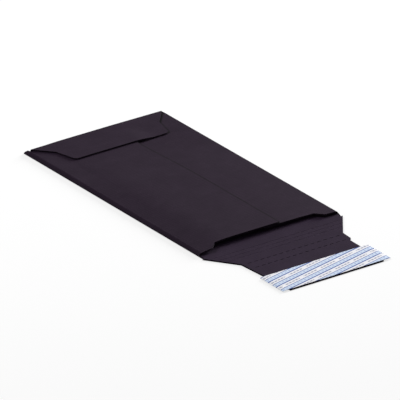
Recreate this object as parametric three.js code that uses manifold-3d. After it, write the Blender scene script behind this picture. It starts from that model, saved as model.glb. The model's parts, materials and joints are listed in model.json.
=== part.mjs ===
// Corrugated mailer envelope: a pocket folded from one blank of thin corrugated board, lying on its
// front panel with the glued seam up. The bottom flap is folded over the back and glued. The closing
// flap lies open, with its adhesive strip still under the release liner.
// Millimetres, +Z up. X runs across the pocket, the mouth faces -Y, and the closing flap turns about X.
import * as THREE from 'three';
import * as BufferGeometryUtils from 'three/addons/utils/BufferGeometryUtils.js';
import Module from 'manifold-3d';

const wasm = await Module();
wasm.setup();

// Board
const BOARD = 1.6;
const LAYER_GAP = 0.25;
const GLUE_THICKNESS = 0.15;

// Pocket
const POCKET_WIDTH = 170;
const POCKET_LENGTH = 312;
const SIDE_FOLD_HEIGHT = 4.8;
const SIDE_FOLD_LEAN = 2;
const SIDE_FOLD_SQUARENESS = 0.8;
const SIDE_FOLD_STEPS = 10;
const SIDE_CREASE_INSET = 23;
const BULGE_AT_MOUTH = 3.4;
const BULGE_AT_CLOSED_END = 0.5;
const BULGE_HOLD = 150;
const CREASE_SHARE_AT_MOUTH = 0.65;
const CREASE_SHARE_AT_CLOSED_END = 0.2;
const LOWER_CREASE_SHARE = 0.5;

// Lapped seam of the two back panels
const SEAM_X = 18.2;
const SEAM_LAP = 18;
const SEAM_GLUE_WIDTH = 10;
const GLUE_FROM_EDGE = 6;

// Mouth edge of the back panels
const MOUTH_SETBACK = 6.5;
const RECESS_DEPTH = 8;
const RECESS_HALF_WIDTH = 68;
const RECESS_CHAMFER = 8;

// Bottom flap
const BOTTOM_FOLD_REACH = 3;
const BOTTOM_FLAP_INSET = 5.5;
const BOTTOM_FLAP_DEPTH = 49;
const BOTTOM_TAPER_DEPTH = 22.5;
const BOTTOM_TAPER_WIDTH = 16.5;
const BOTTOM_CORNER_DRAW = 6;
const BOTTOM_CORNER_RADIUS = 4;
const BOTTOM_GLUE_INSET = 12;
const BOTTOM_GLUE_WIDTH = 8;
const BOTTOM_GLUE_FROM_SEAM = 4;
const FOLD_RELIEF = 0.6;
const CORNER_REACH = 4.2;
const FOLD_OVERLAP = 1.5;

// Closing flap
const CLOSING_FLAP_LENGTH = 110;
const SHOULDER_LENGTH = 33.5;
const SHOULDER_HALF_WIDTH = 61.5;
const FREE_EDGE_HALF_WIDTH = 56.3;
const HINGE_GAP = 0.3;
const SCORE_DEPTH = 0.35;
const SCORE_WIDTH = 1.8;
const SCORE_SPACING = 7;
const SCORE_COUNT = 3;

// Tear strip across the closing flap
const TEAR_LINE_FROM_HINGE = 48;
const TEAR_STRIP_WIDTH = 12;
const PERFORATION_LENGTH = 4.4;
const PERFORATION_TIE = 3.2;
const PERFORATION_WIDTH = 0.8;
const TEAR_TAB_SLANT = 3.6;
const TEAR_TAB_DRAW = 0.8;
const TEAR_MARGIN = 1.5;

// Adhesive strip and release liner
const LINER_FROM_HINGE = 70.5;
const LINER_DEPTH = 39;
const LINER_LENGTH = 130;
const LINER_THICKNESS = 0.2;
const ADHESIVE_THICKNESS = 0.15;
const ADHESIVE_MARGIN = 3;
const FILM_GAP = 0.05;

const halfWidth = POCKET_WIDTH / 2;
const creaseX = halfWidth - SIDE_CREASE_INSET;
const levelX = creaseX - SIDE_CREASE_INSET;
const foldRadius = SIDE_FOLD_HEIGHT / 2;
const foldCentreX = halfWidth - foldRadius;
const foldMidRadius = foldRadius - BOARD / 2;
const foldTopX = foldCentreX - SIDE_FOLD_LEAN;
const backLevel = SIDE_FOLD_HEIGHT - BOARD / 2;
const layerStep = BOARD + LAYER_GAP;
const backMouthY = MOUTH_SETBACK;
const recessY = MOUTH_SETBACK + RECESS_DEPTH;
const recessInnerX = RECESS_HALF_WIDTH - RECESS_CHAMFER;
const foldStartY = POCKET_LENGTH - BOTTOM_FOLD_REACH;
const backEndY = foldStartY - FOLD_RELIEF;
const cornerEndY = POCKET_LENGTH + CORNER_REACH;
const bottomHalfWidth = halfWidth - BOTTOM_FLAP_INSET;
const bottomKneeX = bottomHalfWidth - BOTTOM_TAPER_WIDTH;
const bottomFreeY = POCKET_LENGTH - BOTTOM_FLAP_DEPTH;

function smooth(t) {
  const s = Math.min(1, Math.max(0, t));
  return s * s * (3 - 2 * s);
}

// Height of the dome of the back over its level at the side folds: held near the mouth, then easing
// down to the closed end, where the layers lie on each other.
function easing(y) {
  return smooth((y - BULGE_HOLD) / (bottomFreeY - BULGE_HOLD));
}

function bulge(y) {
  return BULGE_AT_MOUTH + (BULGE_AT_CLOSED_END - BULGE_AT_MOUTH) * easing(y);
}

// Share of the dome at a distance from the middle: a strip tilts up from each side fold to its
// crease, and the panel between the creases is almost level.
function domeShare(distance, y) {
  const fall = CREASE_SHARE_AT_CLOSED_END - CREASE_SHARE_AT_MOUTH;
  const atCrease = CREASE_SHARE_AT_MOUTH + fall * easing(y);
  if (distance >= creaseX) {
    return atCrease * Math.max(0, foldTopX - distance) / (foldTopX - creaseX);
  }
  const past = Math.max(0, distance - levelX) / (creaseX - levelX);
  return 1 - (1 - atCrease) * past * past;
}

// Mid-height of the wide back panel, which lies on top at the seam.
function upperPanelZ(x, y) {
  return backLevel + bulge(y) * domeShare(Math.abs(x), y);
}

// Mid-height of the narrow back panel, one layer lower under the seam.
function lowerPanelZ(x, y) {
  const lapped = bulge(y) - layerStep;
  if (x <= SEAM_X) {
    return backLevel + lapped;
  }
  const t = (x - SEAM_X) / (creaseX - SEAM_X);
  const atCrease = LOWER_CREASE_SHARE * lapped;
  if (x <= creaseX) {
    return backLevel + lapped + (atCrease - lapped) * t * t;
  }
  return backLevel + atCrease * Math.max(0, foldTopX - x) / (foldTopX - creaseX);
}

// Mid-height of the bottom flap, which lies on the wide back panel and spans from the seam to the
// side fold over the narrow one.
function bottomFlapZ(x, y) {
  if (x <= SEAM_X) {
    return upperPanelZ(x, y) + layerStep;
  }
  const atSeam = upperPanelZ(SEAM_X, y);
  const span = atSeam + (backLevel - atSeam) * (x - SEAM_X) / (foldTopX - SEAM_X);
  return layerStep + Math.max(lowerPanelZ(x, y), span);
}

// Closed solid from two matching grids of points: face and back, each rows of [x, y, z].
function solidFromGrids(face, back) {
  const rows = face.length;
  const columns = face[0].length;
  const positions = [];
  const indices = [];
  for (const grid of [face, back]) {
    for (const row of grid) {
      for (const point of row) {
        positions.push(...point);
      }
    }
  }
  const at = (layer, i, j) => layer * rows * columns + i * columns + j;
  const quad = (a, b, c, d) => indices.push(a, b, c, a, c, d);
  for (let i = 0; i < rows - 1; i++) {
    for (let j = 0; j < columns - 1; j++) {
      quad(at(0, i, j), at(0, i, j + 1), at(0, i + 1, j + 1), at(0, i + 1, j));
      quad(at(1, i, j), at(1, i + 1, j), at(1, i + 1, j + 1), at(1, i, j + 1));
    }
    const last = columns - 1;
    quad(at(0, i, 0), at(0, i + 1, 0), at(1, i + 1, 0), at(1, i, 0));
    quad(at(0, i, last), at(1, i, last), at(1, i + 1, last), at(0, i + 1, last));
  }
  for (let j = 0; j < columns - 1; j++) {
    const end = rows - 1;
    quad(at(0, 0, j), at(1, 0, j), at(1, 0, j + 1), at(0, 0, j + 1));
    quad(at(0, end, j), at(0, end, j + 1), at(1, end, j + 1), at(1, end, j));
  }
  const geometry = new THREE.BufferGeometry();
  geometry.setAttribute('position', new THREE.Float32BufferAttribute(positions, 3));
  geometry.setIndex(indices);
  return geometry;
}

function toManifold(geometry) {
  const bare = geometry.clone();
  bare.deleteAttribute('normal');
  bare.deleteAttribute('uv');
  const merged = BufferGeometryUtils.mergeVertices(bare, 1e-5);
  const mesh = new wasm.Mesh({
    numProp: 3,
    vertProperties: new Float32Array(merged.attributes.position.array),
    triVerts: new Uint32Array(merged.index.array),
  });
  return new wasm.Manifold(mesh);
}

function fromManifold(solid) {
  const mesh = solid.getMesh();
  const geometry = new THREE.BufferGeometry();
  geometry.setAttribute('position', new THREE.BufferAttribute(mesh.vertProperties, 3));
  geometry.setIndex(new THREE.BufferAttribute(mesh.triVerts, 1));
  geometry.computeVertexNormals();
  return geometry;
}

function stations(from, to, count) {
  return Array.from({ length: count + 1 }, (_, i) => from + (to - from) * i / count);
}

// Mouth edge of a back panel at a distance from the middle: straight by the side fold, then a
// chamfer into the wide recess.
function mouthEdgeY(distance) {
  if (distance >= RECESS_HALF_WIDTH) {
    return backMouthY;
  }
  if (distance <= recessInnerX) {
    return recessY;
  }
  return backMouthY + RECESS_DEPTH * (RECESS_HALF_WIDTH - distance) / RECESS_CHAMFER;
}

// The blank's walk around the pocket, as columns. Each has its mid-point in the section, the outward
// normal there and the stretch of Y that the board covers.
function pocketColumns() {
  const columns = [];
  const slitX = bottomHalfWidth + FOLD_RELIEF;
  const backColumn = (x, z) => ({
    x: () => x, z, from: mouthEdgeY(Math.abs(x)), to: Math.abs(x) > slitX ? cornerEndY : backEndY,
  });
  const strip = [foldTopX, slitX, (slitX + RECESS_HALF_WIDTH) / 2, RECESS_HALF_WIDTH,
    RECESS_HALF_WIDTH - RECESS_CHAMFER / 2, creaseX, recessInnerX];
  const lapStart = SEAM_X - SEAM_LAP;
  const lap = stations(lapStart, SEAM_X, 2);
  const lower = [...lap, ...stations(SEAM_X, recessInnerX, 7).slice(1, -1)];
  const besideCrease = stations(-recessInnerX, -levelX, 4).slice(1);
  const upper = [...besideCrease, ...stations(-levelX, lapStart, 5).slice(1, -1)];
  for (const x of [...lower, ...strip.slice().reverse()]) {
    columns.push(backColumn(x, (y) => lowerPanelZ(x, y)));
  }
  const fold = (side, share) => {
    const angle = Math.PI / 2 - Math.PI * share;
    const reach = foldMidRadius * Math.cos(angle) ** SIDE_FOLD_SQUARENESS;
    const rise = Math.sign(Math.sin(angle)) * Math.abs(Math.sin(angle)) ** SIDE_FOLD_SQUARENESS;
    columns.push({
      x: () => side * (foldCentreX + reach - SIDE_FOLD_LEAN * (1 + rise) / 2),
      z: () => foldRadius + foldMidRadius * rise,
      from: backMouthY * (1 - smooth(share * 2 - 1)),
      to: cornerEndY,
    });
  };
  for (let i = 1; i < SIDE_FOLD_STEPS; i++) {
    fold(1, i / SIDE_FOLD_STEPS);
  }
  const front = (x, to) => columns.push({ x: () => x, z: () => BOARD / 2, from: 0, to });
  front(foldCentreX, cornerEndY);
  front(slitX + FOLD_RELIEF, cornerEndY);
  for (const x of stations(slitX, -slitX, 10)) {
    front(x, foldStartY);
  }
  front(-slitX - FOLD_RELIEF, cornerEndY);
  front(-foldCentreX, cornerEndY);
  for (let i = SIDE_FOLD_STEPS - 1; i > 0; i--) {
    fold(-1, i / SIDE_FOLD_STEPS);
  }
  for (const x of [...strip.map((station) => -station), ...upper, ...lap]) {
    columns.push(backColumn(x, (y) => upperPanelZ(x, y)));
  }
  return columns;
}

// Front panel, side folds and back panels: the columns carried along Y, with half a board to
// each side of the middle of the section.
function wrapSolid() {
  const columns = pocketColumns();
  const spans = [0, 0.02, 0.1, 0.2, 0.3, 0.4, 0.48, 0.54, 0.6, 0.66, 0.72, 0.78, 0.84, 0.92, 1];
  const outer = [];
  const inner = [];
  for (const share of spans) {
    const outerRow = [];
    const innerRow = [];
    const points = columns.map((c) => {
      const y = c.from + (c.to - c.from) * share;
      return { x: c.x(y), y, z: c.z(y) };
    });
    points.forEach((point, j) => {
      const before = points[Math.max(0, j - 1)];
      const after = points[Math.min(points.length - 1, j + 1)];
      const into = new THREE.Vector2(point.x - before.x, point.z - before.z);
      const out = new THREE.Vector2(after.x - point.x, after.z - point.z);
      const a = into.lengthSq() > 0 ? into.normalize() : out.clone().normalize();
      const b = out.lengthSq() > 0 ? out.normalize() : a.clone();
      const along = a.clone().add(b).normalize();
      const stretch = 1 / Math.max(0.6, along.dot(a));
      const half = BOARD / 2 * stretch;
      const nx = -along.y;
      const nz = along.x;
      outerRow.push([point.x + nx * half, point.y, point.z + nz * half]);
      innerRow.push([point.x - nx * half, point.y, point.z - nz * half]);
    });
    outer.push(outerRow);
    inner.push(innerRow);
  }
  return solidFromGrids(outer, inner);
}

// Half width of the bottom flap at a distance from the closed end: a wide taper, then a slight one,
// then the round corners.
function bottomFlapHalfWidth(distance) {
  if (distance <= BOTTOM_TAPER_DEPTH) {
    const share = (distance - BOTTOM_FOLD_REACH) / (BOTTOM_TAPER_DEPTH - BOTTOM_FOLD_REACH);
    return bottomHalfWidth - BOTTOM_TAPER_WIDTH * share;
  }
  const slope = BOTTOM_CORNER_DRAW / (BOTTOM_FLAP_DEPTH - BOTTOM_TAPER_DEPTH);
  const straight = bottomKneeX - slope * (distance - BOTTOM_TAPER_DEPTH);
  const past = distance - (BOTTOM_FLAP_DEPTH - BOTTOM_CORNER_RADIUS);
  if (past <= 0) {
    return straight;
  }
  const drop = Math.sqrt(Math.max(0, BOTTOM_CORNER_RADIUS ** 2 - past ** 2));
  return straight - (BOTTOM_CORNER_RADIUS - drop);
}

// Bottom flap with its fold: from the end of the front panel round half a turn and back over the
// back panels.
function bottomFlapSolid() {
  const rows = [];
  rows.push({ y: foldStartY - FOLD_OVERLAP, half: bottomHalfWidth, turn: 0 });
  const steps = 8;
  for (let i = 0; i <= steps; i++) {
    rows.push({ y: foldStartY, half: bottomHalfWidth, turn: Math.PI * i / steps });
  }
  const depths = [...stations(BOTTOM_FOLD_REACH, BOTTOM_TAPER_DEPTH, 5).slice(1),
    ...stations(BOTTOM_TAPER_DEPTH, BOTTOM_FLAP_DEPTH - BOTTOM_CORNER_RADIUS, 5).slice(1)];
  for (const angle of [20, 40, 60, 75, 90]) {
    const reach = BOTTOM_CORNER_RADIUS * Math.sin(angle * Math.PI / 180);
    depths.push(BOTTOM_FLAP_DEPTH - BOTTOM_CORNER_RADIUS + reach);
  }
  for (const depth of depths) {
    rows.push({ y: POCKET_LENGTH - depth, half: bottomFlapHalfWidth(depth), turn: Math.PI });
  }
  const columns = 32;
  const outer = [];
  const inner = [];
  for (const row of rows) {
    const outerRow = [];
    const innerRow = [];
    for (let j = 0; j <= columns; j++) {
      const x = row.half * (2 * j / columns - 1);
      const top = bottomFlapZ(x, Math.min(row.y, backEndY));
      const centre = (top + BOARD / 2) / 2;
      const reach = Math.sin(row.turn);
      const lift = Math.cos(row.turn);
      for (const [list, side] of [[outerRow, 1], [innerRow, -1]]) {
        const deep = BOTTOM_FOLD_REACH - BOARD / 2 + side * BOARD / 2;
        const tall = centre - BOARD / 2 + side * BOARD / 2;
        list.push([x, row.y + deep * reach, centre - tall * lift]);
      }
    }
    outer.push(outerRow);
    inner.push(innerRow);
  }
  return solidFromGrids(inner, outer);
}

function pocketGeometry() {
  const wrap = toManifold(wrapSolid());
  return fromManifold(wrap.add(toManifold(bottomFlapSolid())));
}

// Film of glue between two layers, over a rectangle of X and Y, with its lower face at a height.
function glueFilm(xs, ys, lowerFaceZ) {
  const grid = (lift) => ys.map((y) => xs.map((x) => [x, y, lowerFaceZ(x, y) + lift]));
  return solidFromGrids(grid(GLUE_THICKNESS), grid(0));
}

// Half width of the closing flap between its shoulders and its free edge.
function closingFlapEdge(distance) {
  const draw = (SHOULDER_HALF_WIDTH - FREE_EDGE_HALF_WIDTH) / (CLOSING_FLAP_LENGTH - SHOULDER_LENGTH);
  return SHOULDER_HALF_WIDTH - draw * (distance - SHOULDER_LENGTH);
}

// Outline of the closing flap: shoulders and slightly drawn-in sides. On one side the end of the
// tear strip stands out as a small tab, and the flap is narrower beyond it.
function closingFlapOutline() {
  const shape = new THREE.Shape();
  shape.moveTo(-halfWidth, -HINGE_GAP);
  shape.lineTo(-SHOULDER_HALF_WIDTH, -SHOULDER_LENGTH);
  shape.lineTo(-FREE_EDGE_HALF_WIDTH, -CLOSING_FLAP_LENGTH);
  shape.lineTo(FREE_EDGE_HALF_WIDTH, -CLOSING_FLAP_LENGTH);
  shape.lineTo(FREE_EDGE_HALF_WIDTH + TEAR_TAB_DRAW, -TEAR_LINE_FROM_HINGE - TEAR_TAB_SLANT);
  shape.lineTo(closingFlapEdge(TEAR_LINE_FROM_HINGE), -TEAR_LINE_FROM_HINGE);
  shape.lineTo(SHOULDER_HALF_WIDTH, -SHOULDER_LENGTH);
  shape.lineTo(halfWidth, -HINGE_GAP);
  shape.closePath();
  return shape;
}

// Cutters for the two rows of slits that bound the tear strip.
function perforationCutters() {
  const pitch = PERFORATION_LENGTH + PERFORATION_TIE;
  const cutters = [];
  for (const distance of [TEAR_LINE_FROM_HINGE - TEAR_STRIP_WIDTH, TEAR_LINE_FROM_HINGE]) {
    const room = 2 * (closingFlapEdge(distance) - TEAR_MARGIN - PERFORATION_TIE);
    const count = Math.floor((room + PERFORATION_TIE) / pitch);
    const first = -(count * pitch - PERFORATION_TIE) / 2;
    for (let i = 0; i < count; i++) {
      const slit = new THREE.BoxGeometry(PERFORATION_LENGTH, PERFORATION_WIDTH, 3 * BOARD);
      slit.translate(first + i * pitch + PERFORATION_LENGTH / 2, -distance, BOARD / 2);
      cutters.push(slit);
    }
  }
  return cutters;
}

// Section of the closing flap along its length: score lines pressed into the inner face beside the
// hinge line, so that the flap closes over a thick or a thin filling.
function closingFlapProfile() {
  const profile = new THREE.Shape();
  profile.moveTo(-CLOSING_FLAP_LENGTH - 1, 0);
  profile.lineTo(0, 0);
  profile.lineTo(0, BOARD);
  for (let i = 1; i <= SCORE_COUNT; i++) {
    const centre = -SCORE_SPACING * i;
    profile.lineTo(centre + SCORE_WIDTH / 2, BOARD);
    profile.lineTo(centre, BOARD - SCORE_DEPTH);
    profile.lineTo(centre - SCORE_WIDTH / 2, BOARD);
  }
  profile.lineTo(-CLOSING_FLAP_LENGTH - 1, BOARD);
  profile.closePath();
  return profile;
}

function closingFlapGeometry() {
  const outline = new THREE.ExtrudeGeometry(closingFlapOutline(), {
    depth: 3 * BOARD, bevelEnabled: false,
  });
  outline.translate(0, 0, -BOARD);
  const section = new THREE.ExtrudeGeometry(closingFlapProfile(), {
    depth: POCKET_WIDTH + 2, bevelEnabled: false,
  });
  section.applyMatrix4(new THREE.Matrix4().set(
    0, 0, 1, -halfWidth - 1,
    1, 0, 0, 0,
    0, 1, 0, 0,
    0, 0, 0, 1,
  ));
  let flap = toManifold(outline).intersect(toManifold(section));
  for (const cutter of perforationCutters()) {
    flap = flap.subtract(toManifold(cutter));
  }
  return fromManifold(flap);
}

// Flat strip whose ends hang a little over the sides of the closing flap.
function stripGeometry(length, depth, thickness, nearY, lowZ) {
  const shape = new THREE.Shape();
  shape.moveTo(-length / 2, nearY - depth);
  shape.lineTo(length / 2, nearY - depth);
  shape.lineTo(length / 2, nearY);
  shape.lineTo(-length / 2, nearY);
  shape.closePath();
  const geometry = new THREE.ExtrudeGeometry(shape, { depth: thickness, bevelEnabled: false });
  geometry.translate(0, 0, lowZ);
  return geometry;
}

const board = (color) => new THREE.MeshStandardMaterial({ color, roughness: 0.85, metalness: 0 });
const glue = () => new THREE.MeshStandardMaterial({ color: 0xd8cfa8, roughness: 0.4 });

function named(name, geometry, material) {
  const mesh = new THREE.Mesh(geometry, material);
  mesh.name = name;
  return mesh;
}

const mailer = new THREE.Group();
// The origin lies under the middle of the whole outline, on the surface that carries the mailer.
const blankMiddleY = (cornerEndY - CLOSING_FLAP_LENGTH) / 2;
mailer.position.y = -blankMiddleY;

mailer.add(named('pocket', pocketGeometry(), board(0x352b36)));

mailer.add(named('closing_flap', closingFlapGeometry(), board(0x3a2c3c)));

const filmLift = (LAYER_GAP - GLUE_THICKNESS) / 2;
const seamMiddle = SEAM_X - SEAM_LAP / 2;
const seamGlue = glueFilm(
  [seamMiddle - SEAM_GLUE_WIDTH / 2, seamMiddle + SEAM_GLUE_WIDTH / 2],
  stations(recessY + GLUE_FROM_EDGE, bottomFreeY, 24),
  (x, y) => lowerPanelZ(x, y) + BOARD / 2 + filmLift,
);
mailer.add(named('seam_glue', seamGlue, glue()));

const bottomGlue = glueFilm(
  stations(BOTTOM_GLUE_INSET - bottomKneeX, SEAM_X - BOTTOM_GLUE_FROM_SEAM, 16),
  stations(bottomFreeY + GLUE_FROM_EDGE, bottomFreeY + GLUE_FROM_EDGE + BOTTOM_GLUE_WIDTH, 2),
  (x, y) => upperPanelZ(x, y) + BOARD / 2 + filmLift,
);
mailer.add(named('bottom_flap_glue', bottomGlue, glue()));

const adhesiveZ = BOARD + FILM_GAP;
const adhesiveLength = 2 * (FREE_EDGE_HALF_WIDTH - ADHESIVE_MARGIN);
const adhesiveDepth = LINER_DEPTH - 2 * ADHESIVE_MARGIN;
const adhesive = stripGeometry(adhesiveLength, adhesiveDepth, ADHESIVE_THICKNESS,
  -LINER_FROM_HINGE - ADHESIVE_MARGIN, adhesiveZ);
mailer.add(named('adhesive_strip', adhesive,
  new THREE.MeshStandardMaterial({ color: 0xe6e2cf, roughness: 0.3 })));

const linerZ = adhesiveZ + ADHESIVE_THICKNESS + FILM_GAP;
const liner = stripGeometry(LINER_LENGTH, LINER_DEPTH, LINER_THICKNESS, -LINER_FROM_HINGE, linerZ);
mailer.add(named('release_liner', liner,
  new THREE.MeshStandardMaterial({ color: 0xe4ecf8, roughness: 0.45 })));

export default mailer;
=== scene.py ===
"""Corrugated mailer envelope: board in true layers, bottom flap and open closing flap."""

import json
import logging
import math
from dataclasses import dataclass, field, replace
from enum import Enum
from itertools import cycle
from typing import Callable

import bpy
import numpy as np
from mathutils import Matrix, Vector


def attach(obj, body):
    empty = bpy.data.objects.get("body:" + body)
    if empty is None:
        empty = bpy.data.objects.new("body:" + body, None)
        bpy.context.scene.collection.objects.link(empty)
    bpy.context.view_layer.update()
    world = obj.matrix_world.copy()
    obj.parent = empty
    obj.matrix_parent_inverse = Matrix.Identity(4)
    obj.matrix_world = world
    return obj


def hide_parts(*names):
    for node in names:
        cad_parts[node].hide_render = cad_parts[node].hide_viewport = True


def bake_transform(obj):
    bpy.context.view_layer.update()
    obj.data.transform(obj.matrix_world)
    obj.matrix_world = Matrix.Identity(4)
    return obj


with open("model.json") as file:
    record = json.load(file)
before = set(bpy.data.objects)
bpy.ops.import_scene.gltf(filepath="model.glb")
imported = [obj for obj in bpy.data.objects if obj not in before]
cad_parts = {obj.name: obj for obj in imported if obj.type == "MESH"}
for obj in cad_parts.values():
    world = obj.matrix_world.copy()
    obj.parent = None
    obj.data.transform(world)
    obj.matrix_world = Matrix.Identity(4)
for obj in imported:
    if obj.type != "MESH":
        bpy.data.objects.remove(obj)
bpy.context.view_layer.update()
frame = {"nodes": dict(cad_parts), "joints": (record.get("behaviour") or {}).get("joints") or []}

MM = 0.001
TOLERANCE = 1e-6
SHARP_ANGLE = 38.0
WHITE = (1.0, 1.0, 1.0, 1.0)
log = logging.getLogger("mailer")
logging.basicConfig(level=logging.INFO, format="%(name)s: %(message)s")

Array = np.ndarray
Height = Callable[[Array, Array], Array]
Triple = tuple[float, float, float]


class Layer(Enum):
    """Which ply of the corrugated board a surface belongs to."""

    OUTER = "outer"
    FLUTES = "flutes"
    INNER = "inner"


Finishes = dict[Layer, bpy.types.Material]


@dataclass(frozen=True)
class Board:
    """Thin-flute corrugated board: two flat plies with a wave of paper between, in millimetres."""

    thickness: float = 1.6
    ply: float = 0.26
    flute_pitch: float = 3.2
    flute_paper: float = 0.2
    flute_steps: int = 6

    def offsets(self, layer: Layer, travel: Array) -> tuple[Array, Array]:
        """Heights of a ply's two faces over the middle of the board.

        The plies are flat. The flutes follow a sine of the distance travelled across them.

        Args:
            layer: the ply.
            travel: distance across the flutes, in millimetres.

        Returns:
            The upper and the lower height for each distance.
        """
        half = self.thickness / 2
        if layer is Layer.OUTER:
            return np.full_like(travel, half), np.full_like(travel, half - self.ply)
        if layer is Layer.INNER:
            return np.full_like(travel, self.ply - half), np.full_like(travel, -half)
        swing = half - self.ply - self.flute_paper / 2
        wave = swing * np.sin(2 * np.pi * travel / self.flute_pitch)
        return wave + self.flute_paper / 2, wave - self.flute_paper / 2

    def flute_rows(self, start: float, end: float) -> Array:
        """Distances that follow each flute with a fixed count of steps.

        Args:
            start: first distance.
            end: last distance.

        Returns:
            The distances, ends included.
        """
        count = max(2, math.ceil((end - start) / self.flute_pitch * self.flute_steps))
        return np.linspace(start, end, count + 1)


def smooth(t: Array | float) -> Array | float:
    """Ease from 0 to 1: 3t squared minus 2t cubed, held outside."""
    s = np.clip(t, 0, 1)
    return s * s * (3 - 2 * s)


def slab(name: str, face: Array, back: Array, keep: Array | None = None) -> bpy.types.Object:
    """Closed body between two matching grids of points, with openings where cells are left out.

    Each kept cell gives a quad on the face and one on the back. A wall closes every cell side
    whose neighbour is missing.

    Args:
        name: the object's name.
        face: points of the side that looks outwards, rows by columns by 3, in millimetres.
        back: points of the other side.
        keep: which cells exist, rows - 1 by columns - 1. All of them if left out.

    Returns:
        The new object, in metres, at the origin.
    """
    rows, columns = face.shape[:2]
    shift = rows * columns
    if keep is None:
        keep = np.ones((rows - 1, columns - 1), bool)
    ids = np.arange(shift).reshape(rows, columns)
    a, b = ids[:-1, :-1][keep], ids[:-1, 1:][keep]
    c, d = ids[1:, 1:][keep], ids[1:, :-1][keep]
    quads = [np.stack([a, b, c, d], 1), np.stack([a, d, c, b], 1) + shift]
    padded = np.pad(keep, 1)
    core = padded[1:-1, 1:-1]
    sides = (
        (core & ~padded[:-2, 1:-1], ids[:-1, :-1], ids[:-1, 1:]),
        (core & ~padded[2:, 1:-1], ids[1:, 1:], ids[1:, :-1]),
        (core & ~padded[1:-1, :-2], ids[1:, :-1], ids[:-1, :-1]),
        (core & ~padded[1:-1, 2:], ids[:-1, 1:], ids[1:, 1:]),
    )
    for mask, first, second in sides:
        p, q = first[mask], second[mask]
        quads.append(np.stack([q, p, p + shift, q + shift], 1))
    faces = np.concatenate(quads)
    points = np.concatenate([face.reshape(-1, 3), back.reshape(-1, 3)]) * MM
    used, packed = np.unique(faces, return_inverse=True)
    mesh = bpy.data.meshes.new(name)
    mesh.from_pydata(points[used].tolist(), [], packed.reshape(faces.shape).tolist())
    mesh.validate()
    mesh.shade_smooth()
    mesh.set_sharp_from_angle(angle=math.radians(SHARP_ANGLE))
    piece = bpy.data.objects.new(name, mesh)
    bpy.context.scene.collection.objects.link(piece)
    return piece


def section_normals(points: Array) -> Array:
    """Unit normals in the XZ plane along each row, to the left of the walk through the columns.

    The direction of travel is the central difference of the columns; its X and Z swap with one
    sign turned.

    Args:
        points: a grid of points, rows by columns by 3.

    Returns:
        The normals, on the same grid.
    """
    step = np.gradient(points, axis=1)
    step[..., 1] = 0
    length = np.linalg.norm(step, axis=2, keepdims=True)
    step = step / np.maximum(length, TOLERANCE)
    return np.stack([-step[..., 2], np.zeros_like(step[..., 0]), step[..., 0]], axis=2)


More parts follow.
